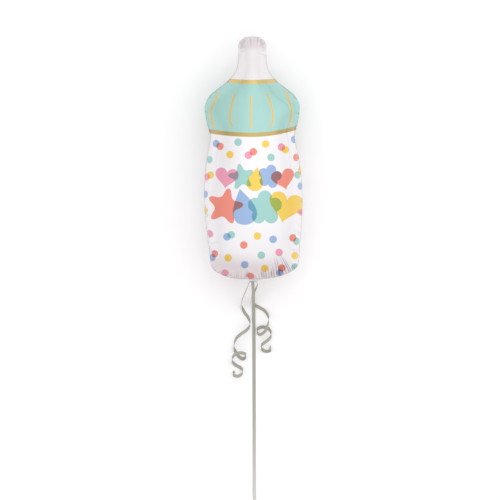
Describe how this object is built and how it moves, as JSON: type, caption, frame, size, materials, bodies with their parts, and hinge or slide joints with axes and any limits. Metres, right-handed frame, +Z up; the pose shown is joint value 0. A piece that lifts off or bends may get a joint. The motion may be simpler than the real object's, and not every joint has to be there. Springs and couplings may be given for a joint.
{
  "type": "baby bottle balloon",
  "caption": "Foil balloon shaped like a feeding bottle with a printed pearl body, mint cap and nipple, lying on its back with a tether ribbon and curled ribbon tails.",
  "frame": {"origin": "on the surface that the balloon lies on, under the middle of the balloon's box", "axes": "+Y from the bottom seam to the nipple, +X to the right as the printed front is seen, +Z up, out of the printed front"},
  "size_m": [0.317, 1.6248, 0.2626],
  "materials": {
    "printed_foil": "pearl satin metallised film with printed mint, gold and coloured dots",
    "ribbon": "satin sage curling ribbon"
  },
  "bodies": {
    "root": {"foil_balloon": "printed_foil", "tail_knot": "ribbon", "tether_ribbon": "ribbon", "curled_ribbon_left": "ribbon", "curled_ribbon_right": "ribbon", "loop_knot": "ribbon", "hand_loop": "ribbon"}
  },
  "joints": []
}
